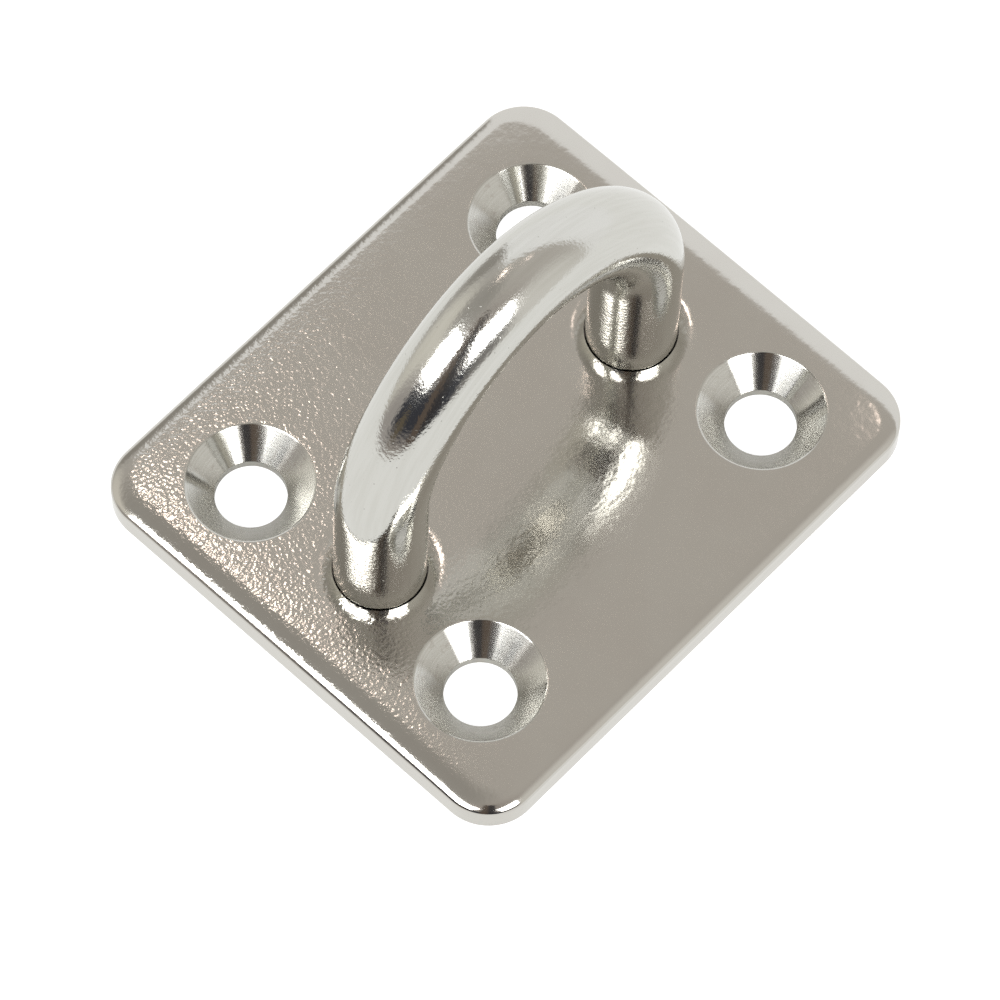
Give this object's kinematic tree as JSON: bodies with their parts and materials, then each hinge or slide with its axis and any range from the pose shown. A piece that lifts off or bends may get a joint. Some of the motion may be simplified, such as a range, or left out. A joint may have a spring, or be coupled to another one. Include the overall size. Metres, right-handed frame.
{
  "type": "pad eye",
  "caption": "Rectangular steel plate with countersunk screw holes and a welded round-bar bow standing over it as a fixed eye.",
  "frame": {"origin": "centre of the plate's underside, the face that beds on the deck", "axes": "+X along the plate's long side and the bow's span, +Y along its short side, +Z out of the deck through the bow's crown"},
  "size_m": [0.04, 0.035, 0.026],
  "materials": {
    "plate_steel": "tumble-polished stainless steel, satin with a fine orange-peel grain, bright-turned countersinks",
    "bar_steel": "bright polished stainless steel round bar",
    "weld_metal": "as-welded stainless steel, rippled, with a faint heat tint"
  },
  "bodies": {
    "root": {"base_plate": "plate_steel", "eye_bow": "bar_steel", "left_leg_weld": "weld_metal", "right_leg_weld": "weld_metal"}
  },
  "joints": []
}
